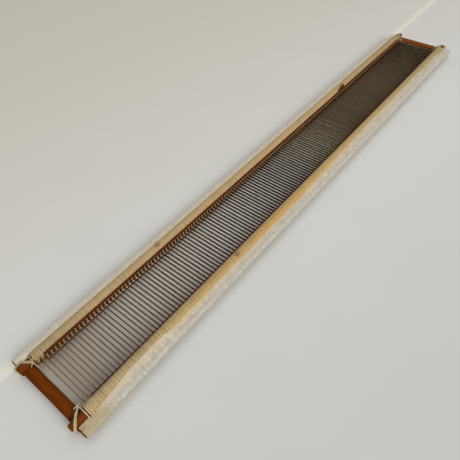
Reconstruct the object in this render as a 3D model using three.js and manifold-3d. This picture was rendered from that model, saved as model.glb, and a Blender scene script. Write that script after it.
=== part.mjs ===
// A weaver's reed: a long comb of flat metal dents held between two bound baulks.
// Millimetres, +Z up. X runs along the reed, Y across it, and Z = 0 is the table it lies on.
// "near" is the -X end, "left" the +Y side and "upper" the +Z face.
import * as THREE from "three";
import { mergeVertices } from "three/addons/utils/BufferGeometryUtils.js";
import Module from "manifold-3d";

const wasm = await Module();
wasm.setup();

// ---- Driving dimensions ----
const gap = 0.3; // clearance between pieces that touch

const overallWidth = 116.6; // across the reed, over both edge tapes
const tapeLength = 846.5; // along the reed, over the edge tapes

const dentPitch = 5;
const dentCount = 163;
const dentThickness = 0.8;
const dentDepth = 3.5; // height of a dent's edge-on strip
const dentsPerGroup = 5;
const beadWidth = 1.2; // pitch that holds the tips of a group inside the tape

const tapeThickness = 0.4;
const tapeFoldRadius = 1.2;

const baulkCentre = 41.4; // from the reed's centre line to the middle of a baulk
const rodHalfWidth = 5;
const rodHeight = 5.6;
const rodLength = 855;
const rodOverhangNear = { left: 3.3, right: 5.6 }; // of the upper rods, past the end of the tapes
const lowerRodOverhang = 2.8;
const rodTaperLength = 17;
const rodTipScale = 0.82;

const postWidth = 12.5;
const postOverhang = 1.2; // how far a post stands out past the end of the tapes
const postEdgeRadius = 0.8;

const cordThickness = 1.7;
const endWrapStart = 13.1; // from the end of the tapes
const endWrapLength = 11.6;

const lathWidth = 3;
const lathThickness = 1.1;
const lathAngle = (35 * Math.PI) / 180; // place of the laths on the shoulder of the winding
const lathTuck = 10; // length of a lath's end under an end wrap
const lathJoint = 196; // where the long lath of the left upper baulk ends
const lathLap = 21;
// Shift of the long lath's end, by distance back from its tip.
const sprungEnd = [
  { back: 27, y: 0, z: 0 },
  { back: 22.5, y: -1.3, z: 0.9 },
  { back: 15, y: -0.8, z: 2.9 },
  { back: 7, y: 0.4, z: 3.9 },
  { back: 0, y: 1.8, z: 4.6 },
];

const lashingRadius = 0.6;

// ---- Derived dimensions ----
const halfTape = tapeLength / 2;
const halfWidth = overallWidth / 2;
const flatLevel = dentDepth / 2 + gap; // flat side of the rods, above or below the dents
const dentTip = halfWidth - tapeThickness - gap;
const tapeHalfHeight = flatLevel + tapeThickness;
const windingHalfWidth = rodHalfWidth + gap + cordThickness;
const windingHeight = rodHeight + gap + cordThickness;
const tapeInnerEdge = baulkCentre + windingHalfWidth + gap;
const windingHalfLength = halfTape - endWrapStart - endWrapLength - gap;
const lathHalfLength = halfTape - endWrapStart - endWrapLength + lathTuck;
const originShift = (rodOverhangNear.right - rodLength + rodOverhangNear.left + tapeLength) / 2;

const wood = { lacquer: 0x5c2e10, lath: 0x5a2c0c };
const materials = {
  post: () => new THREE.MeshStandardMaterial({ color: wood.lacquer, roughness: 0.38, metalness: 0 }),
  rod: () => new THREE.MeshStandardMaterial({ color: wood.lacquer, roughness: 0.42, metalness: 0 }),
  lath: () => new THREE.MeshStandardMaterial({ color: wood.lath, roughness: 0.5, metalness: 0 }),
  dents: () => new THREE.MeshStandardMaterial({ color: 0x5a5248, roughness: 0.42, metalness: 0.9 }),
  winding: () => new THREE.MeshStandardMaterial({ color: 0xb89f74, roughness: 0.9, metalness: 0 }),
  tape: () => new THREE.MeshStandardMaterial({ color: 0xd3cdbf, roughness: 0.85, metalness: 0 }),
  lashing: () => new THREE.MeshStandardMaterial({ color: 0xc4b083, roughness: 0.9, metalness: 0 }),
};

// ---- Helpers ----

function named(name, geometry, material) {
  const mesh = new THREE.Mesh(geometry, material());
  mesh.name = name;
  return mesh;
}

// Turns a geometry built in the section's plane (section x, y and length z) to lie along the reed.
function alongReed(geometry) {
  const axes = new THREE.Matrix4().makeBasis(
    new THREE.Vector3(0, 1, 0),
    new THREE.Vector3(0, 0, 1),
    new THREE.Vector3(1, 0, 0),
  );
  return geometry.applyMatrix4(axes);
}

// A section swept along X, from one end to the other.
function prism(section, from, to, curveSegments = 8) {
  const options = { depth: to - from, bevelEnabled: false, curveSegments };
  const geometry = new THREE.ExtrudeGeometry(section, options);
  return alongReed(geometry.translate(0, 0, from));
}

// A section swept through stations { x, scale, y, z }, each scaling and shifting it.
function loft(section, stations, curveSegments = 8) {
  const steps = stations.length - 1;
  const options = { depth: steps, steps, bevelEnabled: false, curveSegments };
  const geometry = new THREE.ExtrudeGeometry(section, options);
  const position = geometry.getAttribute("position");
  for (let i = 0; i < position.count; i++) {
    const { x, scale = 1, y = 0, z = 0 } = stations[Math.round(position.getZ(i))];
    position.setXYZ(i, position.getX(i) * scale + y, position.getY(i) * scale + z, x);
  }
  return alongReed(geometry);
}

function halfEllipse(halfAcross, height) {
  const shape = new THREE.Shape();
  shape.moveTo(halfAcross, 0);
  shape.absellipse(0, 0, halfAcross, height, 0, Math.PI, false, 0);
  shape.closePath();
  return shape;
}

function toSolid(geometry) {
  const bare = geometry.clone();
  bare.deleteAttribute("normal");
  bare.deleteAttribute("uv");
  const merged = mergeVertices(bare, 1e-4);
  const triVerts = new Uint32Array(merged.index.array);
  const vertProperties = merged.getAttribute("position").array;
  return new wasm.Manifold(new wasm.Mesh({ numProp: 3, vertProperties, triVerts }));
}

function toGeometry(solid) {
  const { vertProperties, triVerts } = solid.getMesh();
  const geometry = new THREE.BufferGeometry();
  geometry.setAttribute("position", new THREE.BufferAttribute(vertProperties, 3));
  geometry.setIndex(new THREE.BufferAttribute(triVerts, 1));
  geometry.computeVertexNormals();
  return geometry;
}

// ---- Sections, in the baulk's own plane: across the reed and up from the dents' middle ----

// Corners of the lath on the inner shoulder of an upper winding.
function lathCorners() {
  const seat = new THREE.Vector2(
    baulkCentre - windingHalfWidth * Math.cos(lathAngle),
    flatLevel + windingHeight * Math.sin(lathAngle),
  );
  const out = new THREE.Vector2(
    -Math.cos(lathAngle) / windingHalfWidth,
    Math.sin(lathAngle) / windingHeight,
  ).normalize();
  const along = new THREE.Vector2(out.y, -out.x);
  const corner = (side, height) =>
    seat.clone().addScaledVector(along, (side * lathWidth) / 2).addScaledVector(out, height);
  const [under, top] = [gap, gap + lathThickness];
  return [corner(-1, under), corner(-1, top), corner(1, top), corner(1, under)];
}

// The line a cord takes when it is pulled round both rods and both laths, at a distance from them.
function wrapOutline(distance) {
  const rodPoints = halfEllipse(rodHalfWidth, rodHeight)
    .getPoints(16)
    .map((p) => new THREE.Vector2(p.x + baulkCentre, p.y + flatLevel));
  const upper = [...rodPoints, ...lathCorners()];
  const held = [...upper, ...upper.map((p) => new THREE.Vector2(p.x, -p.y))];
  const directions = 28;
  const outline = [];
  for (let i = 0; i < directions; i++) {
    const angle = (2 * Math.PI * i) / directions;
    const way = new THREE.Vector2(Math.cos(angle), Math.sin(angle));
    const furthest = held.reduce((best, p) => (p.dot(way) > best.dot(way) ? p : best));
    outline.push(furthest.clone().addScaledVector(way, distance));
  }
  return outline;
}

const endWrapOuter = wrapOutline(gap + cordThickness);
const middleHeight = Math.max(...endWrapOuter.map((p) => p.y)); // of the dents above the table

// ---- Pieces ----

function rodGeometry(from, to) {
  const section = halfEllipse(rodHalfWidth, rodHeight);
  const stations = [
    { x: from, scale: rodTipScale },
    { x: from + rodTaperLength },
    { x: to - rodTaperLength },
    { x: to, scale: rodTipScale },
  ];
  return loft(section, stations.map((s) => ({ ...s, y: baulkCentre, z: flatLevel })), 16);
}

function windingGeometry() {
  const arch = new THREE.Shape();
  arch.moveTo(windingHalfWidth, 0);
  arch.absellipse(0, 0, windingHalfWidth, windingHeight, 0, Math.PI, false, 0);
  arch.lineTo(-rodHalfWidth - gap, 0);
  arch.absellipse(0, 0, rodHalfWidth + gap, rodHeight + gap, Math.PI, 0, true, 0);
  arch.closePath();
  return prism(arch, -windingHalfLength, windingHalfLength).translate(0, baulkCentre, flatLevel);
}

function lathSection() {
  return new THREE.Shape(lathCorners());
}

function lathGeometry(from, to) {
  return prism(lathSection(), from, to);
}

// The long lath ends over the start of the next one, with its tip sprung up off the winding.
function sprungLathGeometry(from, to) {
  const end = sprungEnd.map(({ back, y, z }) => ({ x: to - back, y, z }));
  return loft(lathSection(), [{ x: from }, ...end]);
}

// Turns that bind the rods and the lath ends, with a slot for each dent that crosses them.
function endWrapGeometry(from) {
  const ring = new THREE.Shape(endWrapOuter);
  ring.holes.push(new THREE.Path(wrapOutline(gap)));
  let solid = toSolid(prism(ring, from, from + endWrapLength));
  const slotWidth = dentThickness + 2 * gap;
  for (const x of dentPlaces()) {
    if (x < from - slotWidth || x > from + endWrapLength + slotWidth) continue;
    const slot = new THREE.BoxGeometry(slotWidth, 4 * rodHalfWidth, 2 * flatLevel);
    solid = solid.subtract(toSolid(slot.translate(x, baulkCentre, 0)));
  }
  return toGeometry(solid);
}

// Paper folded over the dents' tips: a channel that opens towards the baulk.
function tapeGeometry() {
  const [inner, outer, half] = [tapeInnerEdge, halfWidth, tapeHalfHeight];
  const radius = tapeFoldRadius;
  const innerRadius = radius - tapeThickness;
  const section = new THREE.Shape();
  section.moveTo(inner, -half);
  section.absarc(outer - radius, -half + radius, radius, -Math.PI / 2, 0, false);
  section.absarc(outer - radius, half - radius, radius, 0, Math.PI / 2, false);
  section.lineTo(inner, half);
  section.lineTo(inner, half - tapeThickness);
  section.absarc(outer - radius, half - radius, innerRadius, Math.PI / 2, 0, true);
  section.absarc(outer - radius, -half + radius, innerRadius, 0, -Math.PI / 2, true);
  section.lineTo(inner, -half + tapeThickness);
  section.closePath();
  return prism(section, -halfTape, halfTape, 3);
}

// A flat slat across the reed, with rounded long edges.
function postGeometry() {
  const [halfX, halfZ, radius] = [postWidth / 2, dentDepth / 2, postEdgeRadius];
  const section = new THREE.Shape();
  section.absarc(halfX - radius, halfZ - radius, radius, 0, Math.PI / 2, false);
  section.absarc(radius - halfX, halfZ - radius, radius, Math.PI / 2, Math.PI, false);
  section.absarc(radius - halfX, radius - halfZ, radius, Math.PI, Math.PI * 1.5, false);
  section.absarc(halfX - radius, radius - halfZ, radius, Math.PI * 1.5, Math.PI * 2, false);
  section.closePath();
  const options = { depth: 2 * dentTip, bevelEnabled: false, curveSegments: 3 };
  return new THREE.ExtrudeGeometry(section, options).translate(0, 0, -dentTip).rotateX(Math.PI / 2);
}

function dentPlaces() {
  return Array.from({ length: dentCount }, (_, i) => (i - (dentCount - 1) / 2) * dentPitch);
}

// A few neighbouring dents, joined at their tips by the pitch inside the tapes.
function dentGroupGeometry(count) {
  const reach = (count - 1) * dentPitch;
  let solid = null;
  const join = (box) => {
    solid = solid ? solid.add(toSolid(box)) : toSolid(box);
  };
  for (let i = 0; i < count; i++) {
    const dent = new THREE.BoxGeometry(dentThickness, 2 * dentTip, dentDepth);
    join(dent.translate(i * dentPitch - reach / 2, 0, 0));
  }
  for (const side of [-1, 1]) {
    const bead = new THREE.BoxGeometry(reach, beadWidth, dentDepth);
    join(bead.translate(0, side * (dentTip - beadWidth / 2), 0));
  }
  return toGeometry(solid);
}

function cordGeometry(points, radius, sides, steps) {
  const path = new THREE.CatmullRomCurve3(points, false, "centripetal");
  const section = new THREE.Shape();
  section.absarc(0, 0, radius, 0, 2 * Math.PI, false);
  const options = { steps, extrudePath: path, bevelEnabled: false, curveSegments: sides / 2 };
  return new THREE.ExtrudeGeometry(section, options);
}

// A lashing ties a post to both rods: two turns slantwise over the joint, then one straight
// turn beside the end wrap. Points are from the post's outer face (along the reed), from the
// reed's centre line (across it) and from the dents' middle (up).
const lashings = {
  left: {
    slantTurns: [
      [12.2, 36.0, 7.6],
      [10.2, 37.4, 8.2],
      [7.6, 40.4, 8.5],
      [5.2, 43.8, 7.7],
      [3.0, 46.8, 5.4],
      [0.6, 47.5, 3.1],
      [-1.3, 47.4, 1.0],
      [-1.3, 47.2, -1.4],
      [-0.6, 46.8, -4.2],
      [3.0, 43.4, -8.8],
      [7.4, 38.6, -9.3],
      [11.4, 34.0, -6.8],
      [13.5, 31.6, -2.6],
      [13.5, 32.4, 0.8],
      [13.2, 34.0, 4.6],
      [11.8, 37.6, 8.2],
      [9.6, 40.2, 8.6],
      [6.8, 43.6, 8.0],
      [4.6, 46.4, 6.0],
      [1.6, 47.9, 3.6],
      [-2.5, 47.6, 1.4],
      [-2.7, 47.2, -1.4],
      [-2.0, 46.4, -4.0],
      [1.0, 42.4, -8.9],
      [5.2, 37.8, -9.2],
      [9.6, 32.8, -6.6],
      [13.5, 29.6, -2.6],
      [13.5, 30.6, 1.0],
      [13.0, 33.4, 4.8],
    ],
    straightTurn: [
      [12.6, 35.2, 7.0],
      [13.3, 37.2, 8.6],
      [13.4, 41.4, 9.0],
      [13.4, 46.2, 6.2],
      [13.4, 47.3, 2.4],
      [13.4, 47.3, -2.4],
      [13.4, 46.2, -6.4],
      [13.4, 41.4, -9.1],
      [13.4, 36.2, -8.2],
      [13.4, 33.6, -4.6],
      [13.4, 33.2, 0],
      [12.9, 34.2, 5.0],
    ],
    knot: [12.2, 35.6, 7.6],
  },
  right: {
    slantTurns: [
      [12.4, 33.4, 5.8],
      [9.8, 36.2, 7.4],
      [7.0, 39.2, 8.5],
      [4.2, 42.0, 8.5],
      [1.6, 44.7, 7.1],
      [-0.9, 46.6, 4.4],
      [-1.3, 46.9, 0],
      [-0.6, 46.8, -4.2],
      [3.0, 43.4, -8.8],
      [7.4, 38.6, -9.3],
      [11.4, 34.0, -6.8],
      [13.5, 31.6, -2.6],
      [13.5, 31.4, 0.6],
      [12.8, 32.4, 3.8],
      [8.4, 36.0, 7.3],
      [5.2, 39.2, 8.5],
      [2.6, 41.8, 8.4],
      [0.0, 44.4, 7.0],
      [-2.6, 46.7, 4.4],
      [-2.9, 47.0, 0],
      [-2.2, 46.4, -4.0],
      [1.0, 42.4, -8.9],
      [5.2, 37.8, -9.2],
      [9.6, 32.8, -6.6],
      [13.5, 29.6, -2.6],
      [13.5, 29.8, 1.0],
      [12.9, 31.8, 4.4],
    ],
    straightTurn: [
      [12.6, 33.2, 5.6],
      [13.3, 34.8, 7.2],
      [13.4, 37.2, 8.6],
      [13.4, 41.4, 9.0],
      [13.4, 46.2, 6.2],
      [13.4, 47.3, 2.4],
      [13.4, 47.3, -2.4],
      [13.4, 46.2, -6.4],
      [13.4, 41.4, -9.1],
      [13.4, 36.2, -8.2],
      [13.4, 33.6, -4.6],
      [13.4, 33.0, 0],
      [12.9, 32.6, 3.8],
    ],
    knot: [12.4, 33.0, 5.8],
  },
};
const lashingSides = 6;
const slantSteps = 70;
const straightSteps = 30;
const knotRadius = 1.45;

function lashingGeometry({ slantTurns, straightTurn, knot }) {
  const place = ([x, y, z]) => new THREE.Vector3(x, y, z);
  const slant = cordGeometry(slantTurns.map(place), lashingRadius, lashingSides, slantSteps);
  const straight = cordGeometry(straightTurn.map(place), lashingRadius, lashingSides, straightSteps);
  const ball = new THREE.SphereGeometry(knotRadius, 10, 6).translate(...knot);
  return toGeometry(toSolid(slant).add(toSolid(straight)).add(toSolid(ball)));
}

// Where one length of winding cord is tied to the next, on top of a baulk.
const spliceKnots = {
  left: { place: [-234.3, 44.6, 10.7], lean: -0.35 },
  right: { place: [-188.9, -40.6, 11], lean: 0 },
};
const spliceBead = [1.5, 1.3, 0.9]; // half sizes
const spliceTail = { radius: 0.45, length: 5.4, turn: 0.6, offset: [1.2, -1.6, 0] };

function spliceKnotGeometry() {
  const { radius, length, turn, offset } = spliceTail;
  const bead = new THREE.SphereGeometry(1, 10, 6).scale(...spliceBead);
  const tail = new THREE.CylinderGeometry(radius, radius, length, 6);
  tail.rotateZ(turn).translate(...offset);
  return toGeometry(toSolid(bead).add(toSolid(tail)));
}

// ---- Assembly ----

const reed = new THREE.Group();
reed.name = "reed";
reed.position.set(originShift, 0, middleHeight);

// Half turns that carry the left upper baulk to the other three places.
const halfTurns = {
  left_upper: [0, 0, 0],
  left_lower: [0, Math.PI, 0],
  right_upper: [0, 0, Math.PI],
  right_lower: [Math.PI, 0, 0],
};

for (const [place, turns] of Object.entries(halfTurns)) {
  const quarter = new THREE.Group();
  quarter.rotation.set(...turns);
  const [side, face] = place.split("_");

  let [from, to] = [-halfTape - lowerRodOverhang, halfTape + lowerRodOverhang];
  if (face === "upper") {
    from = -halfTape - rodOverhangNear[side];
    to = from + rodLength;
    if (side === "right") [from, to] = [-to, -from];
  }
  quarter.add(named(place + "_rod", rodGeometry(from, to), materials.rod));
  quarter.add(named(place + "_winding", windingGeometry(), materials.winding));
  if (place !== "left_upper") {
    const lath = lathGeometry(-lathHalfLength, lathHalfLength);
    quarter.add(named(place + "_lath", lath, materials.lath));
  }
  reed.add(quarter);
}

const longLath = sprungLathGeometry(-lathHalfLength, lathJoint);
reed.add(named("left_upper_long_lath", longLath, materials.lath));
const shortLath = lathGeometry(lathJoint - lathLap, lathHalfLength);
reed.add(named("left_upper_short_lath", shortLath, materials.lath));

// Each side has its tape, and each corner its end wrap and lashing.
const sideTurns = { left: 0, right: Math.PI };
for (const [side, turn] of Object.entries(sideTurns)) {
  const half = new THREE.Group();
  half.rotation.z = turn;
  half.add(named(side + "_edge_tape", tapeGeometry(), materials.tape));
  const nearIsLow = side === "left";
  const lowWrap = endWrapGeometry(-halfTape + endWrapStart);
  const highWrap = endWrapGeometry(halfTape - endWrapStart - endWrapLength);
  half.add(named(`${nearIsLow ? "near" : "far"}_${side}_end_wrap`, lowWrap, materials.winding));
  half.add(named(`${nearIsLow ? "far" : "near"}_${side}_end_wrap`, highWrap, materials.winding));
  reed.add(half);
}

for (const end of ["near", "far"]) {
  const way = end === "near" ? 1 : -1;
  const outerFace = -way * (halfTape + postOverhang);
  const post = named(end + "_end_post", postGeometry(), materials.post);
  post.position.x = outerFace + (way * postWidth) / 2;
  reed.add(post);
  for (const side of ["left", "right"]) {
    // The routes are laid out for a near left corner; the other corners are mirror images.
    const across = side === "left" ? 1 : -1;
    const lashing = named(`${end}_${side}_lashing`, lashingGeometry(lashings[side]), materials.lashing);
    lashing.scale.set(way, across, 1);
    lashing.position.x = outerFace;
    reed.add(lashing);
  }
}

const places = dentPlaces();
const groupCount = Math.ceil(dentCount / dentsPerGroup);
for (let i = 0; i < groupCount; i++) {
  const members = places.slice(i * dentsPerGroup, (i + 1) * dentsPerGroup);
  const name = "dents_" + String(i + 1).padStart(2, "0");
  const group = named(name, dentGroupGeometry(members.length), materials.dents);
  group.position.x = (members[0] + members.at(-1)) / 2;
  reed.add(group);
}

for (const [side, { place, lean }] of Object.entries(spliceKnots)) {
  const splice = named(side + "_splice_knot", spliceKnotGeometry(), materials.lashing);
  splice.position.set(...place);
  splice.rotation.x = lean;
  reed.add(splice);
}

export default reed;
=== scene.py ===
"""A weaver's reed, lying on a pale table: 163 steel dents on edge between two cord-wound baulks."""

import math
import random

import bpy
import numpy as np
from mathutils import Euler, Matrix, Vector, noise


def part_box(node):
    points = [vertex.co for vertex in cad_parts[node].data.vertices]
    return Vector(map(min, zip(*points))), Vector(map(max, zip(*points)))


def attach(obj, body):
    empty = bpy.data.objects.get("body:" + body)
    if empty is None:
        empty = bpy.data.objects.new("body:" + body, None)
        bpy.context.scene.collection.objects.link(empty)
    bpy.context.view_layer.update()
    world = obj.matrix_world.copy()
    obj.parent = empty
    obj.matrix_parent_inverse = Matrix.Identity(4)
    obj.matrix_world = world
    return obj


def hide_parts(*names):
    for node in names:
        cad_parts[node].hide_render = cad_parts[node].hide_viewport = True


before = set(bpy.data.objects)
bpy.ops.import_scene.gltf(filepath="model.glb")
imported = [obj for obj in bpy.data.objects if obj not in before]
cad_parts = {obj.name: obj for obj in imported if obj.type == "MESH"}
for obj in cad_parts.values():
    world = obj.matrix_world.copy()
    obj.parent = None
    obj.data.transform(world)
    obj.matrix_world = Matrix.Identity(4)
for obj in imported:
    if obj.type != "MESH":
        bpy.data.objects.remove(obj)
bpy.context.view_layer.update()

MM = 0.001
TURN = 2 * math.pi

# ---- Sizes read from the frame, in metres ----
post_low, post_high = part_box("near_end_post")
_, far_post_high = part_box("far_end_post")
MID = (post_low.z + post_high.z) / 2  # height of the dents' middle
tape_low, tape_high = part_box("left_edge_tape")
NEAR, FAR = tape_low.x, tape_high.x  # ends of the edge tapes
HALF_WIDTH = tape_high.y
rod_low, rod_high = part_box("left_upper_rod")
BAULK = (rod_low.y + rod_high.y) / 2  # a baulk's distance from the reed's centre line
ROD_HALF = (rod_high.y - rod_low.y) / 2
FLAT = rod_low.z - MID  # flat side of a rod, from the dents' middle
wind_low, wind_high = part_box("left_upper_winding")
group_low, group_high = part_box("dents_01")
next_low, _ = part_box("dents_02")
IN_GROUP = 5
PITCH = (next_low.x - group_low.x) / IN_GROUP
DENT_THICK = (group_high.x - group_low.x) - (IN_GROUP - 1) * PITCH
DENT_DEEP = group_high.z - group_low.z
DENT_LONG = group_high.y - group_low.y
FIRST_DENT = group_low.x + DENT_THICK / 2
_, last_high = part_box("dents_33")
LAST_DENT = last_high.x - DENT_THICK / 2
wrap_low, wrap_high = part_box("near_left_end_wrap")
far_wrap_low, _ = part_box("far_left_end_wrap")
CORD = 1.667 * MM  # spacing of the turns of the winding: three to a dent pitch
CLEAR = 0.3 * MM
SLANT = 1.2 * MM  # how far the turns lean over from the gaps to the top of the rods


# ---- Camera, floor and lights ----

CAMERA_PLACE = (-0.42916, -0.24263, 0.41866)
CAMERA_TURN = (41.314, 2.087, -51.335)  # degrees about X, Y, Z
CAMERA_LENS = 34.67


def make_camera():
    data = bpy.data.cameras.new("camera")
    data.lens = CAMERA_LENS
    data.sensor_width = 36
    data.clip_start = 0.01
    camera = bpy.data.objects.new("camera", data)
    camera.location = CAMERA_PLACE
    camera.rotation_euler = Euler([math.radians(a) for a in CAMERA_TURN])
    bpy.context.scene.collection.objects.link(camera)
    bpy.context.scene.camera = camera


def make_light(name, place, size, power, colour):
    """A round lamp that points at the middle of the reed."""
    data = bpy.data.lights.new(name, "AREA")
    data.shape = "DISK"
    data.size = size
    data.energy = power
    data.color = colour
    light = bpy.data.objects.new(name, data)
    light.location = place
    light.rotation_euler = (-Vector(place)).to_track_quat("-Z", "Y").to_euler()
    bpy.context.scene.collection.objects.link(light)


def make_world():
    world = bpy.data.worlds.new("soft_room")
    world.use_nodes = True
    background = world.node_tree.nodes["Background"]
    background.inputs["Color"].default_value = (1.0, 0.995, 0.975, 1)
    background.inputs["Strength"].default_value = 0.395
    bpy.context.scene.world = world


# ---- Materials ----

class Shader:
    """A node material built one node at a time."""

    def __init__(self, name, roughness=0.5, metallic=0.0):
        self.material = bpy.data.materials.new(name)
        self.material.use_nodes = True
        self.tree = self.material.node_tree
        self.surface = self.tree.nodes["Principled BSDF"]
        self.surface.inputs["Roughness"].default_value = roughness
        self.surface.inputs["Metallic"].default_value = metallic
        self.place = self.node("ShaderNodeTexCoord").outputs["Object"]

    def node(self, kind, **settings):
        made = self.tree.nodes.new(kind)
        for key, value in settings.items():
            setattr(made, key, value)
        return made

    def link(self, source, target):
        self.tree.links.new(source, target)

    def fill(self, socket, value):
        """Links an output to a socket, or sets the socket to a number or colour."""
        if isinstance(value, bpy.types.NodeSocket):
            self.link(value, socket)
        else:
            socket.default_value = value

    def stretched(self, scale, shift=(0, 0, 0)):
        mapping = self.node("ShaderNodeMapping")
        self.link(self.place, mapping.inputs["Vector"])
        mapping.inputs["Scale"].default_value = scale
        mapping.inputs["Location"].default_value = shift
        return mapping.outputs["Vector"]

    def noise(self, scale, detail=3.0, rough=0.55, shift=(0, 0, 0)):
        """Noise whose grains are 1 / scale metres across, one scale for each axis."""
        made = self.node("ShaderNodeTexNoise")
        self.link(self.stretched(scale, shift), made.inputs["Vector"])
        made.inputs["Scale"].default_value = 1.0
        made.inputs["Detail"].default_value = detail
        made.inputs["Roughness"].default_value = rough
        return made.outputs["Fac"]

    def ramp(self, value, stops):
        """Colours (or greys) at places from 0 to 1."""
        made = self.node("ShaderNodeValToRGB")
        elements = made.color_ramp.elements
        while len(elements) < len(stops):
            elements.new(0.5)
        for element, (place, colour) in zip(elements, stops):
            element.position = place
            element.color = colour if len(colour) == 4 else (*colour, 1)
        self.link(value, made.inputs["Fac"])
        return made.outputs["Color"]

    def math(self, operation, a, b=0.0, clamp=False):
        made = self.node("ShaderNodeMath", operation=operation, use_clamp=clamp)
        self.fill(made.inputs[0], a)
        self.fill(made.inputs[1], b)
        return made.outputs[0]

    def mix(self, share, a, b, blend="MIX"):
        made = self.node("ShaderNodeMix", data_type="RGBA", blend_type=blend)
        self.fill(made.inputs[0], share)
        self.fill(made.inputs[6], a)
        self.fill(made.inputs[7], b)
        return made.outputs[2]

    def axis(self, name):
        split = self.node("ShaderNodeSeparateXYZ")
        self.link(self.place, split.inputs[0])
        return split.outputs[name]

    def step(self, value, low, high):
        """0 below low, 1 above high, smooth between."""
        made = self.node("ShaderNodeMapRange", interpolation_type="SMOOTHSTEP", clamp=True)
        self.fill(made.inputs["Value"], value)
        made.inputs["From Min"].default_value = low
        made.inputs["From Max"].default_value = high
        return made.outputs["Result"]

    def rest(self, value):
        return self.math("SUBTRACT", 1.0, value)

    def fall(self, value, low, high):
        """1 below low, 0 above high, smooth between."""
        return self.rest(self.step(value, low, high))

    def times(self, *values):
        product = values[0]
        for value in values[1:]:
            product = self.math("MULTIPLY", product, value)
        return product

    def tint(self, tone, colour, *shares):
        """The tone, moved towards a colour by the product of the shares."""
        return self.mix(self.times(*shares), tone, colour)

    def colour(self, value):
        self.fill(self.surface.inputs["Base Color"], value)

    def roughness(self, value):
        self.fill(self.surface.inputs["Roughness"], value)

    def bump(self, height, distance, strength=1.0):
        made = self.node("ShaderNodeBump")
        self.link(height, made.inputs["Height"])
        made.inputs["Distance"].default_value = distance
        made.inputs["Strength"].default_value = strength
        self.link(made.outputs["Normal"], self.surface.inputs["Normal"])


def linear(red, green, blue):
    """A colour given as 0 to 255 on a screen, as the shader's linear numbers."""
    def one(v):
        v = v / 255
        return v / 12.92 if v <= 0.04045 else ((v + 0.055) / 1.055) ** 2.4
    return (one(red), one(green), one(blue), 1.0)


def grey(level):
    return (level, level, level)


def lacquer(name, grain, dark, middle, light):
    """Brown lacquer over straight-grained wood; grain is the noise's scale along each axis."""
    far_end = (0.30, 0.42)
    inside_right_baulk, lath_edge = (-0.034, -0.030), (-0.0385, -0.0375)
    shader = Shader(name)
    along, across = shader.axis("X"), shader.axis("Y")
    fine = shader.noise(grain, detail=6, rough=0.7)
    tone = shader.ramp(fine, [(0.28, dark), (0.5, middle), (0.75, light)])
    broad = shader.noise(tuple(g * 0.16 for g in grain), detail=2, shift=(3, 1, 2))
    tone = shader.tint(tone, dark, shader.step(broad, 0.42, 0.72), 0.55)
    scuffs = shader.noise((900, 900, 900), detail=4, rough=0.7)
    tone = shader.tint(tone, light, shader.step(scuffs, 0.66, 0.76))
    tone = shader.tint(tone, linear(168, 92, 14), shader.step(along, *far_end), 0.25)
    # painted shade on the inner lath of the right baulk
    painted_shade_on_lath = shader.times(shader.fall(across, *inside_right_baulk), shader.step(across, *lath_edge))
    tone = shader.tint(tone, linear(46, 26, 4), painted_shade_on_lath, 0.6)
    shader.colour(tone)
    shader.roughness(shader.ramp(fine, [(0.3, grey(0.42)), (0.7, grey(0.58))]))
    shader.surface.inputs["Specular IOR Level"].default_value = 0.07
    shader.bump(fine, 0.12 * MM, 0.6)
    return shader.material


def cord_material(name, stain=None, groove=None, *, deep, mid, pale):
    """Twisted plant-fibre cord, with an optional streak, and painted shade between the turns and painted
    highlight on their crowns.
    """
    dulled, near_left_darker = (0.06, 0.40), (NEAR + 0.03, NEAR + 0.10)
    turn_shading_fades = (NEAR + 0.08, NEAR + 0.30)
    shader = Shader(name, roughness=0.88)
    along = shader.axis("X")
    left = shader.step(shader.axis("Y"), 0.0, 0.01)
    fibres = shader.noise((2600, 2600, 2600), detail=4, rough=0.65)
    tone = shader.ramp(fibres, [(0.3, deep), (0.5, mid), (0.72, pale)])
    patches = shader.noise((60, 160, 160), detail=3, shift=(5, 0, 1))
    tone = shader.tint(tone, deep, shader.step(patches, 0.45, 0.75), 0.3)
    # for the right cord this adds a streak of painted highlight and a brown line
    if stain:
        tone = stain(shader, tone)
    tone = shader.tint(tone, linear(140, 118, 82), shader.step(along, *dulled), 0.42)
    # the left winding is set darker and more olive towards its near end
    tone = shader.tint(tone, linear(160, 142, 96), shader.fall(along, *near_left_darker), left, 0.4)
    if groove:
        side = shader.node("ShaderNodeAttribute", attribute_name="groove").outputs["Fac"]
        # the painted highlight and painted shade of the turns are weaker away from the near end, and on the
        # left baulk
        painted_turn_shading = shader.times(
            shader.rest(shader.times(shader.step(along, *turn_shading_fades), 0.7)),
            shader.rest(shader.times(left, 0.45)),
        )
        # painted highlight on the crowns of the turns, then painted shade in the grooves between them
        tone = shader.tint(tone, linear(248, 228, 184), shader.fall(side, 0.15, 0.6), painted_turn_shading, 0.5)
        tone = shader.tint(tone, groove, shader.step(side, 0.5, 0.95), painted_turn_shading, 0.95)
        tone = rusty_gaps_and_painted_light(shader, tone)
    shader.colour(tone)
    shader.bump(fibres, 0.15 * MM, 0.7)
    return shader.material


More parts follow.
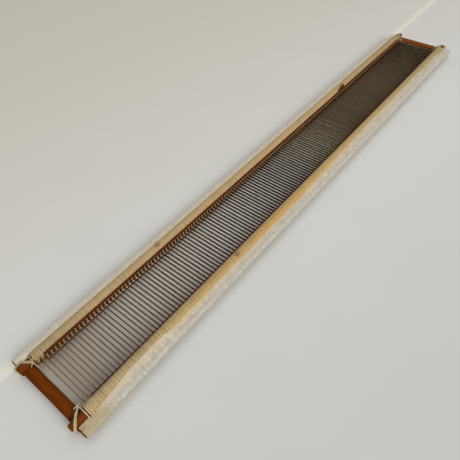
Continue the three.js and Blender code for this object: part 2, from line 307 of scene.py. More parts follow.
def rusty_gaps_and_painted_light(shader, tone):
    """Brown from the dents and the varnish, on the inner flanks where the cord nears each dent, and painted
    light that makes the lower inner flank paler.
    """
    height = shader.math("SUBTRACT", shader.axis("Z"), MID)
    across = shader.math("ABSOLUTE", shader.axis("Y"))
    inner = shader.fall(across, BAULK - 4.2 * MM, BAULK - 3.2 * MM)
    # place between two dents, from 0 to 1; the marks lean over with the turns
    lean, offset = 0.35 / PITCH, 2.08
    along = shader.math("DIVIDE", shader.math("SUBTRACT", shader.axis("X"), FIRST_DENT), PITCH)
    along = shader.math("SUBTRACT", shader.math("ADD", along, offset), shader.times(height, lean))
    from_middle = shader.math("ABSOLUTE", shader.math("SUBTRACT", shader.math("FRACT", along), 0.5))
    near_dent = shader.step(from_middle, 0.20, 0.34)
    low = shader.fall(height, 1.2 * MM, 2.2 * MM)
    brown = shader.math("MAXIMUM", near_dent, low)
    above = shader.step(height, -1.2 * MM, -0.4 * MM)
    below = shader.fall(height, 5.6 * MM, 6.6 * MM)
    tone = shader.tint(tone, linear(124, 62, 16), brown, above, below, inner, 0.85)
    # the lower flank is painted paler than real cord: painted light that lifts the shade there and makes up
    # for the dark lower lath that shows there
    under = shader.fall(height, -1.8 * MM, -0.8 * MM)
    away = shader.step(shader.axis("X"), NEAR + 0.05, NEAR + 0.13)
    return shader.tint(tone, linear(252, 241, 218), under, away, inner, 0.9)


def highlight_streak_and_brown_line(shader, tone):
    """A streak of painted gold highlight on the outer flank of the right baulk, and the brown line over it.
    """
    starts, thins_out = (NEAR + 0.04, NEAR + 0.12), (-0.10, 0.12)
    edge, patchy = 1.2 * MM, 0.2
    across, along = shader.axis("Y"), shader.axis("X")
    wander = shader.times(shader.noise((14, 0, 0), detail=3), 4 * MM)
    across = shader.math("ADD", across, shader.math("SUBTRACT", wander, 2 * MM))
    fade = shader.rest(shader.times(shader.step(along, *thins_out), 0.85))
    reach = shader.times(shader.step(along, *starts), fade)
    # the two ochre bands are painted highlight in gold along the flank; the last band is the brown line
    for low, high, runs_from, strength, colour in (
        (-0.0490, -0.0380, 0.26, 0.45, linear(214, 172, 96)),
        (-0.0482, -0.0438, 0.22, 0.80, linear(220, 172, 90)),
        (-0.0430, -0.0412, 0.38, 0.80, linear(150, 100, 44)),
    ):
        band = shader.times(shader.step(across, low, low + edge), shader.fall(across, high - edge, high))
        runs = shader.step(shader.noise((30, 300, 300), detail=3), runs_from, runs_from + patchy)
        tone = shader.tint(tone, colour, band, reach, runs, strength)
    return tone


def ring_mark(shader, x, y):
    """A small brown ring on the paper, such as a damp tack leaves."""
    dx = shader.math("SUBTRACT", shader.axis("X"), x)
    dy = shader.math("SUBTRACT", shader.axis("Y"), y)
    reach = shader.math("SQRT", shader.math("ADD", shader.times(dx, dx), shader.times(dy, dy)))
    return shader.times(
        shader.step(reach, 0.7 * MM, 1.2 * MM), shader.fall(reach, 1.5 * MM, 2.1 * MM), 0.65
    )


def paper_material():
    """Off-white paper tape: fibres, dirt, crinkles in painted shade and highlight, and specks, a strip
    beside the left winding painted lighter to lift its shade, and a tea-coloured stain and a ring at the
    near right end."""
    shader = Shader("edge_paper", roughness=0.82)
    along, across = shader.axis("X"), shader.axis("Y")
    out = shader.math("ABSOLUTE", across)
    left = shader.step(across, 0.02, 0.03)
    fibres = shader.noise((700, 2200, 2200), detail=5, rough=0.7)
    tone = shader.ramp(
        fibres, [(0.25, linear(190, 183, 168)), (0.5, linear(206, 199, 184)), (0.8, linear(218, 212, 199))]
    )
    dirt = shader.noise((60, 160, 160), detail=4, rough=0.6, shift=(2, 7, 1))
    tone = shader.tint(tone, linear(176, 162, 136), shader.step(dirt, 0.5, 0.72), 0.35)
    # a painted highlight along the outer edge of the paper
    painted_edge_highlight = shader.step(out, HALF_WIDTH - 4.4 * MM, HALF_WIDTH - 2.6 * MM)
    tone = shader.tint(tone, linear(228, 222, 208), painted_edge_highlight, 0.5)
    # painted shade on the outer side of the fold
    painted_fold_shade = shader.step(out, HALF_WIDTH - 1.3 * MM, HALF_WIDTH - 0.5 * MM)
    tone = shader.tint(tone, linear(160, 150, 132), painted_fold_shade, 0.6)
    blot = shader.noise((90, 240, 240), detail=5, rough=0.65, shift=(8, 3, 5))
    tone = shader.tint(tone, linear(170, 166, 154), shader.step(blot, 0.45, 0.6), 0.30)
    # crinkles shown as patches of painted shade and painted highlight
    crinkle = shader.noise((380, 90, 90), detail=4, rough=0.7, shift=(6, 2, 8))
    tone = shader.tint(tone, linear(158, 153, 139), shader.step(crinkle, 0.54, 0.66), 0.40)
    tone = shader.tint(tone, linear(234, 231, 222), shader.fall(crinkle, 0.34, 0.46), 0.55)
    specks = shader.noise((420, 420, 420), detail=2, shift=(3, 9, 4))
    tone = shader.tint(tone, linear(138, 124, 98), shader.step(specks, 0.70, 0.76), 0.55)
    inward, painted_light_beside = (0.0485, 0.0565), (0.0525, 0.0548)
    tone = shader.tint(tone, linear(202, 180, 140), left, shader.fall(out, *inward), 0.22)
    # the flange beside the left winding is painted lighter, to lift the shade of the winding on it
    tone = shader.tint(tone, linear(246, 234, 208), left, shader.fall(out, *painted_light_beside), 0.8)
    tone = shader.tint(tone, linear(190, 168, 122), near_right_stain(shader, along, across))
    tone = shader.tint(tone, linear(122, 84, 34), ring_mark(shader, NEAR + 1.8 * MM, -0.0505))
    shader.colour(tone)
    shader.bump(fibres, 0.1 * MM, 0.5)
    return shader.material


def near_right_stain(shader, along, across):
    """The share of a cloudy stain that ends on a slanting, wavy edge."""
    slant, edge_along, edge_across = 1.4, NEAR + 0.015, 0.053
    wavy = shader.times(shader.noise((70, 200, 200), detail=3, shift=(1, 1, 1)), 0.03)
    slanting = shader.math("ADD", shader.math("ADD", along, wavy), shader.times(across, slant))
    edge = edge_along - slant * edge_across
    cloudy = shader.ramp(
        shader.noise((240, 240, 240), detail=5, rough=0.65, shift=(5, 1, 2)),
        [(0.32, grey(0.45)), (0.62, grey(0.95))],
    )
    right = shader.fall(across, -0.03, -0.02)
    return shader.times(shader.fall(slanting, edge + 0.018, edge + 0.038), right, cloudy)


def steel_material():
    """Flat dent wire: dull grey-brown steel with a brown film, paler at the near end and past the
    middle, and brown where it enters the windings."""
    near_end, past_middle, far_end = (-0.42, -0.27), (-0.03, 0.06), (0.24, 0.38)
    by_windings = (0.0285, 0.0320)
    shader = Shader("dent_steel", roughness=0.42, metallic=0.75)
    along = shader.axis("X")
    film = shader.noise((300, 90, 300), detail=4, rough=0.6)
    tone = shader.ramp(
        film, [(0.3, linear(66, 51, 36)), (0.52, linear(90, 75, 56)), (0.75, linear(119, 104, 84))]
    )
    rust = shader.noise((140, 500, 140), detail=5, rough=0.7, shift=(4, 2, 9))
    tone = shader.tint(tone, linear(82, 54, 32), shader.step(rust, 0.62, 0.74), 0.6)
    spared = shader.rest(shader.times(shader.step(along, *far_end), 0.8))
    tone = shader.tint(tone, linear(160, 142, 112), shader.step(along, *past_middle), 0.38, spared)
    tone = shader.tint(tone, linear(172, 162, 150), shader.fall(along, *near_end), 0.43)
    foot = shader.step(shader.math("ABSOLUTE", shader.axis("Y")), *by_windings)
    tone = shader.tint(tone, linear(96, 56, 22), foot, 0.75)
    shader.colour(tone)
    shader.roughness(shader.ramp(film, [(0.3, grey(0.52)), (0.7, grey(0.34))]))
    shader.bump(shader.noise((1500, 400, 1500), detail=3), 0.05 * MM, 0.5)
    return shader.material


def floor_material():
    """The pale table, with its tone between the dents and beside the left tape set to the photo's."""
    shader = Shader("pale_table", roughness=0.6)
    along, across = shader.axis("X"), shader.axis("Y")
    mottle = shader.noise((9, 9, 9), detail=3)
    tone = shader.ramp(mottle, [(0.3, linear(227, 226, 222)), (0.7, linear(231, 230, 226))])
    # the light falls off slantwise to either side
    slanting = shader.math("ADD", across, shader.times(along, 0.25))
    tone = shader.tint(tone, linear(221, 217, 205), shader.step(slanting, -0.15, 0.55))
    tone = shader.tint(tone, linear(214, 213, 211), shader.fall(slanting, -0.45, 0.04))
    # between the dents the table is painted darker at the near end, painted shade, and lighter further on,
    # painted light that lifts the shade of the comb
    inside = shader.times(
        shader.fall(shader.math("ABSOLUTE", across), 0.034, 0.046),
        shader.fall(shader.math("ABSOLUTE", along), 0.400, 0.420),
    )
    between_dents = shader.ramp(
        shader.math("ADD", along, 0.5),
        [(0.1, linear(200, 186, 170)), (0.2, linear(226, 216, 203)),
         (0.35, linear(244, 240, 232)), (0.5, linear(244, 243, 239))],
    )
    tone = shader.tint(tone, between_dents, inside)
    # painted light beside the left tape: it lifts the contact shadow there
    painted_light_beside = shader.times(shader.step(across, 0.054, 0.057), shader.fall(across, 0.061, 0.072))
    tone = shader.tint(tone, linear(246, 241, 226), painted_light_beside, 0.85)
    shader.colour(tone)
    shader.surface.inputs["Specular IOR Level"].default_value = 0.25
    return shader.material


# ---- Mesh building ----

def piece(name, points, faces, material, stands_for=(), smooth=True, grooves=None):
    """A mesh that rides on the reed and stands for CAD nodes."""
    mesh = bpy.data.meshes.new(name)
    mesh.from_pydata([tuple(map(float, p)) for p in points], [], [tuple(map(int, f)) for f in faces])
    if grooves is not None:
        mesh.attributes.new("groove", "FLOAT", "POINT").data.foreach_set("value", grooves)
    mesh.polygons.foreach_set("use_smooth", [smooth] * len(mesh.polygons))
    mesh.materials.append(material)
    made = bpy.data.objects.new(name, mesh)
    bpy.context.scene.collection.objects.link(made)
    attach(made, "root")
    if stands_for:
        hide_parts(*stands_for)
    return made


class Builder:
    """Collects tubes and shells into one mesh."""

    def __init__(self):
        self.points, self.faces, self.count = [], [], 0

    def rings(self, rings, flip=False, closed_ends=True):
        """Skins a list of rings, an array (rings, sides, 3), and caps both ends."""
        rings = np.asarray(rings, float)
        many, sides, _ = rings.shape
        base = self.count
        self.points.append(rings.reshape(-1, 3))
        self.count += many * sides
        row = np.arange(many - 1)[:, None] * sides
        col = np.arange(sides)[None, :]
        nxt = (col + 1) % sides
        quads = np.stack(
            [row + col, row + nxt, row + sides + nxt, row + sides + col], -1
        ).reshape(-1, 4) + base
        if flip:
            quads = quads[:, ::-1]
        self.faces.extend(quads.tolist())
        if closed_ends:
            first = (np.arange(sides) + base).tolist()
            last = (np.arange(sides) + base + (many - 1) * sides).tolist()
            self.faces.append(first if flip else first[::-1])
            self.faces.append(last[::-1] if flip else last)

    def make(self, name, material, stands_for=(), smooth=True, grooves=None):
        points = np.concatenate(self.points)
        return piece(name, points, self.faces, material, stands_for, smooth, grooves)


def smooth_path(points, steps):
    """Catmull-Rom through given points, resampled to even steps."""
    p = np.asarray(points, float)
    p = np.vstack([2 * p[0] - p[1], p, 2 * p[-1] - p[-2]])
    fine = []
    for i in range(1, len(p) - 2):
        t = np.linspace(0, 1, 16, endpoint=False)[:, None]
        a, b, c, d = p[i - 1], p[i], p[i + 1], p[i + 2]
        fine.append(
            0.5 * (2 * b + (c - a) * t + (2 * a - 5 * b + 4 * c - d) * t**2 + (3 * b - a - 3 * c + d) * t**3)
        )
    fine = np.vstack([*fine, p[-2][None]])
    reach = np.concatenate([[0], np.cumsum(np.linalg.norm(np.diff(fine, axis=0), axis=1))])
    even = np.linspace(0, reach[-1], steps)
    return np.stack([np.interp(even, reach, fine[:, k]) for k in range(3)], 1), reach[-1]


def twisted_rings(path, radius, sides=10, lay=4.2 * MM, ply=2, depth=0.14, taper=0.0):
    """Rings of a plied cord along a path: its strands turn once in each lay."""
    path = np.asarray(path, float)
    tangents = np.gradient(path, axis=0)
    tangents /= np.linalg.norm(tangents, axis=1)[:, None]
    normal = np.cross(tangents[0], (0.3, 0.1, 1.0))
    normal /= np.linalg.norm(normal)
    travelled = np.concatenate([[0], np.cumsum(np.linalg.norm(np.diff(path, axis=0), axis=1))])
    rings = []
    for i, (centre, tangent) in enumerate(zip(path, tangents)):
        normal = normal - tangent * normal.dot(tangent)
        normal /= np.linalg.norm(normal)
        side = np.cross(tangent, normal)
        angle = np.arange(sides) * TURN / sides
        twist = travelled[i] / lay * TURN
        size = radius * (1 + depth * np.cos(ply * angle - twist))
        if taper:
            size = size * (1 - taper * (i / (len(path) - 1)) ** 3)
        rings.append(
            centre
            + size[:, None] * (np.cos(angle)[:, None] * normal + np.sin(angle)[:, None] * side)
        )
    return np.array(rings)


# ---- Sections of the baulks, as (y, z) from the centre line and the dents' middle ----

def section_points(*nodes):
    """Where the vertices of CAD nodes of the left baulk lie, seen from the end."""
    seen = []
    for node in nodes:
        co = np.array([v.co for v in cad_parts[node].data.vertices])
        seen.append(co[:, 1:] - (0, MID))
    return np.vstack(seen)


def wrap_outline(held, distance, samples):
    """The loop that a taut cord takes round the held points, starting below the baulk."""
    angles = -math.pi / 2 + np.arange(96) * TURN / 96
    ways = np.stack([np.cos(angles), np.sin(angles)], 1)
    loop = held[np.argmax(held @ ways.T, axis=0)] + distance * ways
    loop = np.vstack([loop, loop[:1]])
    reach = np.concatenate([[0], np.cumsum(np.linalg.norm(np.diff(loop, axis=0), axis=1))])
    even = np.linspace(0, reach[-1], samples, endpoint=False)
    return np.stack([np.interp(even, reach, loop[:, k]) for k in range(2)], 1)


def winding_rings(loop, turns, side, seed, squeeze=0.62, fatter=0.0):
    """Rings of the winding: three turns in each gap between dents, pinched together where they
    pass between the dents and fanned out over the rods. A turn is (middle of its gap, -1 to 1)."""
    rng = np.random.default_rng(seed)
    samples = len(loop)
    onward = np.roll(loop, -1, 0) - np.roll(loop, 1, 0)
    normal = np.stack([onward[:, 1], -onward[:, 0]], 1)
    normal /= np.linalg.norm(normal, axis=1)[:, None]
    # the turns stay pinched further up on the inner side, under the laths
    inner_reach, outer_reach = 4.6 * MM, 1.4 * MM
    reach = np.where(normal[:, 0] < 0, inner_reach, outer_reach)
    start = np.where(normal[:, 0] < 0, FLAT + 0.8 * MM, DENT_DEEP / 2)
    free = np.clip((np.abs(loop[:, 1]) - start) / reach, 0, 1)
    free = free * free * (3 - 2 * free)  # 0 between the dents, 1 over the rods
    outer = np.clip(normal[:, 0], 0, 1)
    share = np.arange(samples) / samples
    # the cord moves on to its next place under the lower rod
    moved = np.where(share < 0.25, share - 0.25, np.where(share > 0.75, share - 0.75, 0)) * 2 * CORD
    sides = 12
    angle = np.arange(sides) * TURN / sides
    cord_radius, sample_step, lay = 0.82 * MM, 1.75 * MM, 4.6 * MM
    rings = []
    for count, (gap_x, k) in enumerate(turns):
        thick = cord_radius * (1 + rng.normal(0, 0.04))
        puff = abs(rng.normal(0, 0.07 * MM)) * free + fatter * outer
        x = gap_x + k * CORD * (squeeze + (1 - squeeze) * free) + SLANT * (free - 0.5) + moved
        x = x + rng.normal(0, 0.06 * MM) * free
        middle = loop + normal * puff[:, None]
        travelled = (count * samples + np.arange(samples)) * sample_step
        size = 1 + 0.10 * np.cos(2 * angle[None, :] - (travelled / lay * TURN)[:, None])
        sideways = thick * (0.76 + 0.24 * free)[:, None] * size * np.sin(angle)
        outward = thick * 1.02 * size * np.cos(angle)
        rings.append(np.stack([
            x[:, None] + sideways,
            side * (middle[:, 0, None] + normal[:, 0, None] * outward),
            MID + middle[:, 1, None] + normal[:, 1, None] * outward,
        ], -1))
    return np.concatenate(rings)


def groove_depths(rings):
    """For each point of the rings: 0 on the crown of a turn, 1 where it meets its neighbours."""
    angle = np.arange(rings.shape[1]) * TURN / rings.shape[1]
    return np.tile(np.abs(np.sin(angle)), len(rings))


def turns_between(low, high):
    """The turns whose middles lie from low to high along the reed."""
    count = round((LAST_DENT - FIRST_DENT) / PITCH)
    middles = [FIRST_DENT + (i + 0.5) * PITCH for i in range(-1, count + 1)]
    return [(x, k) for x in middles for k in (-1, 0, 1) if low <= x + k * CORD < high]


LOOP_SAMPLES = 30  # places round each turn of the winding
SIDES = {"left": 1, "right": -1}
ENDS = {"near": 1, "far": -1}


def make_windings(material):
    held = section_points("left_upper_rod", "left_lower_rod")
    loop = wrap_outline(held, CLEAR + CORD / 2, LOOP_SAMPLES)
    stretches = 3
    length = (wind_high.x - wind_low.x) / stretches
    for side, sign in SIDES.items():
        for part in range(stretches):
            low = wind_low.x + part * length
            builder = Builder()
            turns = turns_between(low, low + length)
            rings = winding_rings(loop, turns, sign, seed=11 * part + (sign > 0), fatter=0.5 * MM)
            builder.rings(rings, flip=sign > 0)
            builder.make(
                f"{side}_winding_{part + 1}", material[side],
                [f"{side}_upper_winding", f"{side}_lower_winding"], grooves=groove_depths(rings),
            )


def make_end_wraps(material):
    held = section_points("left_upper_rod", "left_lower_rod")
    loop = wrap_outline(held, CLEAR + CORD / 2 + 0.2 * MM, LOOP_SAMPLES)
    for side, sign in SIDES.items():
        for end in ENDS:
            node = f"{end}_{side}_end_wrap"
            low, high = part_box(node)
            turns = turns_between(low.x, high.x)
            builder = Builder()
            rings = winding_rings(
                loop, turns, sign, seed=sum(map(ord, node)), squeeze=0.8, fatter=0.2 * MM
            )
            builder.rings(rings, flip=sign > 0)
            builder.make(
                f"{node}_turns", material[side], [node], grooves=groove_depths(rings)
            )


# ---- Wood ----

def rounded_box_ring(x, low, high, bevel):
    """A ring in the plane at x, from corner low to corner high in (y, z), with round corners."""
    (y0, z0), (y1, z1) = low, high
    corners = [(y1 - bevel, z1 - bevel, 0), (y0 + bevel, z1 - bevel, 1),
               (y0 + bevel, z0 + bevel, 2), (y1 - bevel, z0 + bevel, 3)]
    ring = []
    for cy, cz, quarter in corners:
        for step in range(4):
            a = (quarter + step / 3) * TURN / 4
            ring.append((x, cy + bevel * math.cos(a), cz + bevel * math.sin(a)))
    return ring


def make_posts(material):
    """Slats with worn round edges, very slightly uneven along their length."""
    for end in ENDS:
        low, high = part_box(end + "_end_post")
        builder = Builder()
        rings = []
        stations = 40
        for i in range(stations + 1):
            y = low.y + (high.y - low.y) * i / stations
            wave = 0.10 * MM * noise.noise((y * 60, low.x, 2.0))
            trim = 0.35 * MM if i in (0, stations) else 0.0
            ring = rounded_box_ring(
                y, (low.x + trim + wave, low.z + trim), (high.x - trim + wave, high.z - trim), 0.9 * MM
            )
            rings.append([(x, along, z) for along, x, z in ring])
        builder.rings(rings)
        builder.make(end + "_post_slat", material, [end + "_end_post"])


def make_rods(material):
    """Half-round rods, whittled thinner where they stand out past the posts."""
    for side, sign in SIDES.items():
        for face, up in (("upper", 1), ("lower", -1)):
            node = f"{side}_{face}_rod"
            low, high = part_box(node)
            half = (high.y - low.y) / 2
            tall = high.z - low.z
            base = low.z if up > 0 else high.z
            middle = (low.y + high.y) / 2
            taper = 17 * MM
            builder = Builder()
            rings = []
            steps = (0, 0.2, 0.6, 1.2, 1.8, 2.6, 4, 6, 9, 13, 17, 21)
            ends = [low.x + d * MM for d in steps] + [high.x - d * MM for d in reversed(steps)]
            for x in ends:
                tip = min(x - low.x, high.x - x)
                scale = 0.82 + 0.18 * min(1, tip / taper)
                round_off = 1 - 0.30 * (1 - min(1, tip / (2.4 * MM))) ** 2.2
                jitter = 1 + 0.02 * noise.noise((x * 90, middle * 50, up))
                ring = []
                for i in range(21):
                    a = math.pi * i / 20
                    y = half * scale * round_off * jitter * math.cos(a)
                    z = tall * scale * math.sqrt(round_off) * math.sin(a)
                    ring.append((x, middle + y, base + up * max(z, 0.0)))
                rings.append(ring)
            builder.rings(rings, flip=up < 0)
            builder.make(f"{node}_half_round", material, [node])


def stations_of(node):
    """The centre of a CAD lath's section at each place along it where it has vertices."""
    co = np.array([v.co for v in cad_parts[node].data.vertices])
    places = sorted(set(np.round(co[:, 0], 5)))
    return [(x, *co[np.abs(co[:, 0] - x) < 2e-5][:, 1:].mean(0)) for x in places]


def lath_frame(node):
    """Half width, half thickness, and their directions in (y, z), from the lath's low end."""
    co = np.array([v.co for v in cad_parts[node].data.vertices])
    corners = np.unique(np.round(co[np.abs(co[:, 0] - co[:, 0].min()) < 1e-5][:, 1:], 6), axis=0)
    centre = corners.mean(0)
    spokes = corners - centre
    order = np.argsort(np.arctan2(spokes[:, 1], spokes[:, 0]))
    edge_a = spokes[order[1]] - spokes[order[0]]
    edge_b = spokes[order[2]] - spokes[order[1]]
    wide, thin = (edge_a, edge_b) if np.hypot(*edge_a) > np.hypot(*edge_b) else (edge_b, edge_a)
    return np.hypot(*wide) / 2, np.hypot(*thin) / 2, wide / np.hypot(*wide), thin / np.hypot(*thin)


LATH_SAG = 0.7 * MM  # how far the laths have slid down the flank towards the dents
LATH_TUCK = 0.6 * MM  # how far a lath runs on under the end wrap


def make_laths(material):
    names = ["left_upper_long_lath", "left_upper_short_lath", "left_lower_lath",
             "right_upper_lath", "right_lower_lath"]
    sprung_length = 13 * MM
    for index, node in enumerate(names):
        half_wide, half_thin, wide, thin = lath_frame(node)
        down = -wide if wide[1] * math.copysign(1, stations_of(node)[0][2] - MID) > 0 else wide
        track = [(x, y + down[0] * LATH_SAG, z + down[1] * LATH_SAG) for x, y, z in stations_of(node)]
        low = max(track[0][0], wrap_high.x - LATH_TUCK)
        high = min(track[-1][0], far_wrap_low.x + LATH_TUCK)
        fine_from = high - 30 * MM
        xs = list(np.arange(low, fine_from, 4 * MM)) + list(np.linspace(fine_from, high, 20))
        known = np.array(track)
        builder = Builder()
        rings = []
        for x in xs:
            y = np.interp(x, known[:, 0], known[:, 1])
            z = np.interp(x, known[:, 0], known[:, 2])
            width = half_wide * (1 + 0.07 * noise.noise((x * 22, index * 3.1, 0)))
            if node == "left_upper_long_lath":
                width *= 1 + 0.8 * min(1, max(0, 1.5 - (high - x) / sprung_length))
            sway = 0.10 * MM * noise.noise((x * 15, index * 5.3, 4))
            ring = []
            for i in range(16):
                a = i * TURN / 16
                c, s = math.cos(a), math.sin(a)
                p = math.copysign(abs(c) ** 0.45, c) * width + sway
                q = math.copysign(abs(s) ** 0.6, s) * half_thin
                ring.append((x, y + p * wide[0] + q * thin[0], z + p * wide[1] + q * thin[1]))
            rings.append(ring)
        turned = wide[0] * thin[1] - wide[1] * thin[0]
        builder.rings(rings, flip=turned < 0)
        if node == "left_upper_long_lath":
            add_splinters(builder, track[-1], wide, half_wide)
        builder.make(f"{node}_strip", material, [node])


def add_splinters(builder, tip, wide, half_wide):
    """Fibres torn loose at the sprung end of the long lath."""
    rng = random.Random(5)
    x, y, z = tip
    for i in range(7):
        place = (i / 6 - 0.5) * 2.2 * half_wide
        start = np.array([x - 3.0 * MM, y + place * wide[0], z + place * wide[1]])
        reach = rng.uniform(3.2, 4.6) * MM
        lift = rng.uniform(0.1, 0.7) * MM
        end = start + np.array([reach, rng.uniform(-0.2, 0.9) * MM, lift])
        middle = (start + end) / 2 + np.array([0, 0, 0.25 * MM])
        path, _ = smooth_path([start, middle, end], 8)
        builder.rings(twisted_rings(path, 0.32 * MM, sides=6, depth=0.05, taper=0.8))


# ---- Steel ----

def make_dents(material):
    """Every dent on its own, with rolled edges, a slight lean and a slight bow."""
    rng = random.Random(21)
    count = round((LAST_DENT - FIRST_DENT) / PITCH) + 1
    half_x, half_z, half_y = DENT_THICK / 2, DENT_DEEP / 2, DENT_LONG / 2
    roll = 0.22 * MM
    outline = [(half_x, half_z - roll), (half_x - roll, half_z), (roll - half_x, half_z),
               (-half_x, half_z - roll), (-half_x, roll - half_z), (roll - half_x, -half_z),
               (half_x - roll, -half_z), (half_x, roll - half_z)]
    for group in range(math.ceil(count / IN_GROUP)):
        builder = Builder()
        for index in range(group * IN_GROUP, min((group + 1) * IN_GROUP, count)):
            centre = FIRST_DENT + index * PITCH
            lean = rng.gauss(0, 0.006)
            bow = rng.gauss(0, 0.09 * MM)
            skew = rng.gauss(0, 0.0006)
            rings = []
            for i in range(13):
                share = i / 6 - 1
                y = share * half_y
                middle = 1 - share * share
                x0 = centre + bow * middle + skew * y * middle
                rings.append([
                    (x0 + px + pz * lean * middle, y, MID + pz) for px, pz in outline
                ])
            builder.rings(rings, flip=True)
        node = f"dents_{group + 1:02d}"
        builder.make(f"{node}_steel", material, [node], smooth=False)


# ---- Paper ----

# How far the right paper climbs the winding, in mm, by distance from its near end in mm.
RIGHT_LAP = [(0, 0.5), (15, 1.0), (30, 3.4), (48, 5.2), (65, 6.7), (110, 6.5), (125, 5.0),
             (350, 4.6), (420, 5.2), (520, 6.7), (700, 6.4), (800, 6.0), (835, 3.0)]


def lap_height(x, sign):
    """How far the paper's inner edge climbs the winding."""
    ragged = noise.noise((x * 38, sign * 4.0, 1.0)) + 0.5 * noise.noise((x * 130, sign, 7.0))
    if sign > 0:
        return (2.3 + 0.6 * ragged) * MM
    places, heights = zip(*RIGHT_LAP)
    return max(0.3, float(np.interp((x - NEAR) / MM, places, heights)) + 0.5 * ragged) * MM


def tape_section(x, sign):
    """The paper's outer face at x, as (y, z) from the inner edge above to the inner edge below."""
    flange = (tape_high.z - tape_low.z) / 2
    past_winding = min(1, max(0, (wrap_low.x + 1.5 * MM - min(x, NEAR + FAR - x)) / (3 * MM)))
    # foot of the winding's outer flank, or of the bare rod at the ends
    seat = BAULK + ROD_HALF + CLEAR + (CORD + 0.25 * MM) * (1 - past_winding)
    semi_y = seat - BAULK
    semi_z = wind_high.z - MID - FLAT + (0.2 - 2.0 * past_winding) * MM
    radius = 1.5 * MM
    edge = HALF_WIDTH + 0.12 * MM * noise.noise((x * 25, sign, 3.0))
    climb = lap_height(x, sign)
    upper = []
    for i in range(5):
        up = FLAT + climb * (1 - i / 4)
        bend = math.sqrt(max(0.0, 1 - ((up - FLAT) / semi_z) ** 2))
        upper.append((BAULK + semi_y * bend + 0.1 * MM, max(up, flange)))
    upper[-1] = (seat + 0.5 * MM, flange + 0.1 * MM)
    for i in range(1, 8):
        share = i / 8
        ripple = 0.16 * MM * math.cos((x - FIRST_DENT) / PITCH * TURN) * math.sin(math.pi * share)
        crease = 0.20 * MM * noise.noise((x * 60, share * 2.5 + sign, 8.0))
        upper.append((seat + (edge - radius - seat) * share, flange + ripple + crease))
    for i in range(6):
        a = math.pi / 2 * (1 - i / 5)
        upper.append((edge - radius + radius * math.cos(a), flange - radius + radius * math.sin(a)))
    lower = [(y, -z) for y, z in reversed(upper)]
    return upper + lower


def make_tapes(material):
    thickness = 0.32 * MM
    for side, sign in SIDES.items():
        xs = np.arange(NEAR, FAR, PITCH / 4).tolist() + [FAR]
        rings = []
        for x in xs:
            outer = np.array(tape_section(x, sign))
            along = np.gradient(outer, axis=0)
            normal = np.stack([along[:, 1], -along[:, 0]], 1)
            normal /= np.maximum(np.linalg.norm(normal, axis=1)[:, None], 1e-9)
            inner = outer + normal * thickness
            loop = np.vstack([outer, inner[::-1]])
            rings.append(np.column_stack([np.full(len(loop), x), sign * loop[:, 0], MID + loop[:, 1]]))
        builder = Builder()
        builder.rings(rings, flip=sign < 0)
        builder.make(f"{side}_edge_paper", material, [f"{side}_edge_tape"])


# ---- Cords at the corners ----

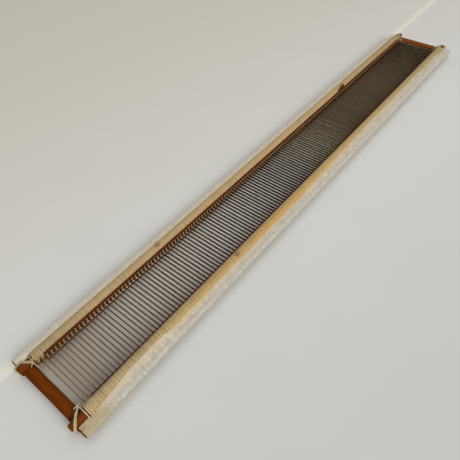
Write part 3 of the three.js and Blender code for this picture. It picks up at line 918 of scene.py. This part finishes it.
# The routes of part.mjs, in mm: from the post's outer face, from the reed's centre line, and
# from the dents' middle.
LASHINGS = {
    "left": dict(
        slant_turns=[
            (12.2, 36.0, 7.6), (10.2, 37.4, 8.2), (7.6, 40.4, 8.5), (5.2, 43.8, 7.7),
            (3.0, 46.8, 5.4), (0.6, 47.5, 3.1), (-1.3, 47.4, 1.0), (-1.3, 47.2, -1.4),
            (-0.6, 46.8, -4.2), (3.0, 43.4, -8.8), (7.4, 38.6, -9.3), (11.4, 34.0, -6.8),
            (13.5, 31.6, -2.6), (13.5, 32.4, 0.8), (13.2, 34.0, 4.6), (11.8, 37.6, 8.2),
            (9.6, 40.2, 8.6), (6.8, 43.6, 8.0), (4.6, 46.4, 6.0), (1.6, 47.9, 3.6),
            (-2.5, 47.6, 1.4), (-2.7, 47.2, -1.4), (-2.0, 46.4, -4.0), (1.0, 42.4, -8.9),
            (5.2, 37.8, -9.2), (9.6, 32.8, -6.6), (13.5, 29.6, -2.6), (13.5, 30.6, 1.0),
            (13.0, 33.4, 4.8),
        ],
        straight_turn=[
            (12.6, 35.2, 7.0), (13.3, 37.2, 8.6), (13.4, 41.4, 9.0), (13.4, 46.2, 6.2),
            (13.4, 47.3, 2.4), (13.4, 47.3, -2.4), (13.4, 46.2, -6.4), (13.4, 41.4, -9.1),
            (13.4, 36.2, -8.2), (13.4, 33.6, -4.6), (13.4, 33.2, 0), (12.9, 34.2, 5.0),
        ],
        knot=(12.2, 35.6, 7.6),
        tails=[
            [(12.2, 35.6, 8.0), (10.8, 34.9, 6.4), (9.4, 34.8, 4.4), (8.6, 35.0, 2.9)],
            [(12.6, 36.0, 8.2), (14.6, 37.2, 9.6), (16.8, 39.4, 10.7), (19.0, 41.8, 11.1),
             (21.0, 44.0, 10.6)],
        ],
    ),
    "right": dict(
        slant_turns=[
            (12.4, 33.4, 5.8), (9.8, 36.2, 7.4), (7.0, 39.2, 8.5), (4.2, 42.0, 8.5),
            (1.6, 44.7, 7.1), (-0.9, 46.6, 4.4), (-1.3, 46.9, 0), (-0.6, 46.8, -4.2),
            (3.0, 43.4, -8.8), (7.4, 38.6, -9.3), (11.4, 34.0, -6.8), (13.5, 31.6, -2.6),
            (13.5, 31.4, 0.6), (12.8, 32.4, 3.8), (8.4, 36.0, 7.3), (5.2, 39.2, 8.5),
            (2.6, 41.8, 8.4), (0.0, 44.4, 7.0), (-2.6, 46.7, 4.4), (-2.9, 47.0, 0),
            (-2.2, 46.4, -4.0), (1.0, 42.4, -8.9), (5.2, 37.8, -9.2), (9.6, 32.8, -6.6),
            (13.5, 29.6, -2.6), (13.5, 29.8, 1.0), (12.9, 31.8, 4.4),
        ],
        straight_turn=[
            (12.6, 33.2, 5.6), (13.3, 34.8, 7.2), (13.4, 37.2, 8.6), (13.4, 41.4, 9.0),
            (13.4, 46.2, 6.2), (13.4, 47.3, 2.4), (13.4, 47.3, -2.4), (13.4, 46.2, -6.4),
            (13.4, 41.4, -9.1), (13.4, 36.2, -8.2), (13.4, 33.6, -4.6), (13.4, 33.0, 0),
            (12.9, 32.6, 3.8),
        ],
        knot=(12.4, 33.0, 5.8),
        tails=[
            [(12.4, 33.0, 6.4), (11.2, 32.3, 7.2), (9.8, 31.9, 7.0), (8.8, 31.7, 6.2)],
            [(12.6, 33.0, 6.4), (13.8, 32.2, 7.0), (15.0, 31.8, 6.4), (15.8, 31.6, 5.6)],
        ],
    ),
}
LASHING_RADIUS = 0.62 * MM


def corner_path(points, end, sign):
    """Points of a route at one corner, in metres."""
    way = ENDS[end]
    face = post_low.x if end == "near" else far_post_high.x
    return [(face + way * x * MM, sign * y * MM, MID + z * MM) for x, y, z in points]


def knot_path(centre, size, lean):
    """An overhand knot: a trefoil pulled up small."""
    loop = []
    turn = Euler(lean)
    for i in range(60):
        t = i * TURN / 60
        local = Vector((
            math.sin(t) + 2 * math.sin(2 * t), math.cos(t) - 2 * math.cos(2 * t), -1.3 * math.sin(3 * t)
        ))
        local.rotate(turn)
        loop.append(Vector(centre) + local * size)
    return [tuple(p) for p in loop + loop[:2]]


def make_lashings(material):
    for side, sign in SIDES.items():
        lashing = LASHINGS[side]
        for end in ENDS:
            node = f"{end}_{side}_lashing"
            builder = Builder()
            for route, steps in (("slant_turns", 420), ("straight_turn", 150)):
                path, _ = smooth_path(corner_path(lashing[route], end, sign), steps)
                builder.rings(twisted_rings(path, LASHING_RADIUS))
            centre = corner_path([lashing["knot"]], end, sign)[0]
            knot = knot_path(centre, 0.48 * MM, (0.3, 0.5 * sign, 0.4))
            builder.rings(twisted_rings(knot, LASHING_RADIUS * 0.92, sides=8))
            for tail in lashing["tails"]:
                path, _ = smooth_path(corner_path(tail, end, sign), 40)
                builder.rings(twisted_rings(path, LASHING_RADIUS * 0.85, taper=0.35))
            builder.make(f"{node}_cord", material, [node])


def make_splice_knots(material):
    for side in SIDES:
        node = f"{side}_splice_knot"
        low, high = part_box(node)
        centre = (low + high) / 2 + Vector((0, -1.5 * MM if side == "left" else 0, 0.3 * MM))
        builder = Builder()
        knot = knot_path(centre, 0.95 * MM, (0.2, 0.3, 0.9))
        builder.rings(twisted_rings(knot, 0.6 * MM, sides=8))
        for way in (-1, 1):
            tail = [
                centre,
                centre + Vector((1.4 * way, 1.9 * way, 0.4)) * MM,
                centre + Vector((2.6 * way, 4.3 * way, -0.3)) * MM,
            ]
            path, _ = smooth_path([tuple(p) for p in tail], 18)
            builder.rings(twisted_rings(path, 0.5 * MM, taper=0.4))
        builder.make(f"{node}_tied", material, [node])


# ---- The scene ----

def make_floor():
    size = 6.0
    points = [(-size, -size, 0), (size, -size, 0), (size, size, 0), (-size, size, 0)]
    mesh = bpy.data.meshes.new("table")
    mesh.from_pydata(points, [], [(0, 1, 2, 3)])
    mesh.materials.append(floor_material())
    table = bpy.data.objects.new("table", mesh)
    bpy.context.scene.collection.objects.link(table)


def main():
    bpy.context.scene.view_settings.view_transform = "Standard"
    make_camera()
    make_floor()
    make_world()
    make_light("window_light", place=(-0.7, -3.4, 2.5), size=2.8, power=90, colour=(0.98, 0.99, 1.0))
    make_light("ceiling_light", place=(0.2, 0.3, 2.6), size=2.4, power=12, colour=(1.0, 0.985, 0.95))

    # the colour of the painted shade in the grooves between the turns of the windings
    dirt = linear(96, 68, 32)
    tan = dict(deep=linear(164, 130, 82), mid=linear(208, 177, 126), pale=linear(229, 206, 160))
    cord = {
        "left": cord_material("winding_cord_left", groove=dirt, **tan),
        "right": cord_material("winding_cord_right", highlight_streak_and_brown_line, groove=dirt, **tan),
    }
    pale_cord = cord_material(
        "lashing_cord", deep=linear(158, 138, 98), mid=linear(206, 190, 150), pale=linear(232, 222, 192)
    )
    brown = dict(dark=linear(76, 32, 0), middle=linear(112, 53, 0), light=linear(138, 72, 4))
    across = lacquer("lacquer_across", (1400, 60, 1400), **brown)
    along = lacquer("lacquer_along", (60, 1400, 1400), **brown)
    lath = lacquer(
        "lath_wood", (50, 1600, 1600), linear(66, 27, 0), linear(92, 40, 0), linear(114, 55, 0)
    )
    make_posts(across)
    make_rods(along)
    make_laths(lath)
    make_dents(steel_material())
    make_windings(cord)
    make_end_wraps(cord)
    make_tapes(paper_material())
    make_lashings(pale_cord)
    make_splice_knots(cord_material(
        "knot_cord", deep=linear(120, 92, 56), mid=linear(176, 146, 102), pale=linear(222, 196, 150)
    ))


main()
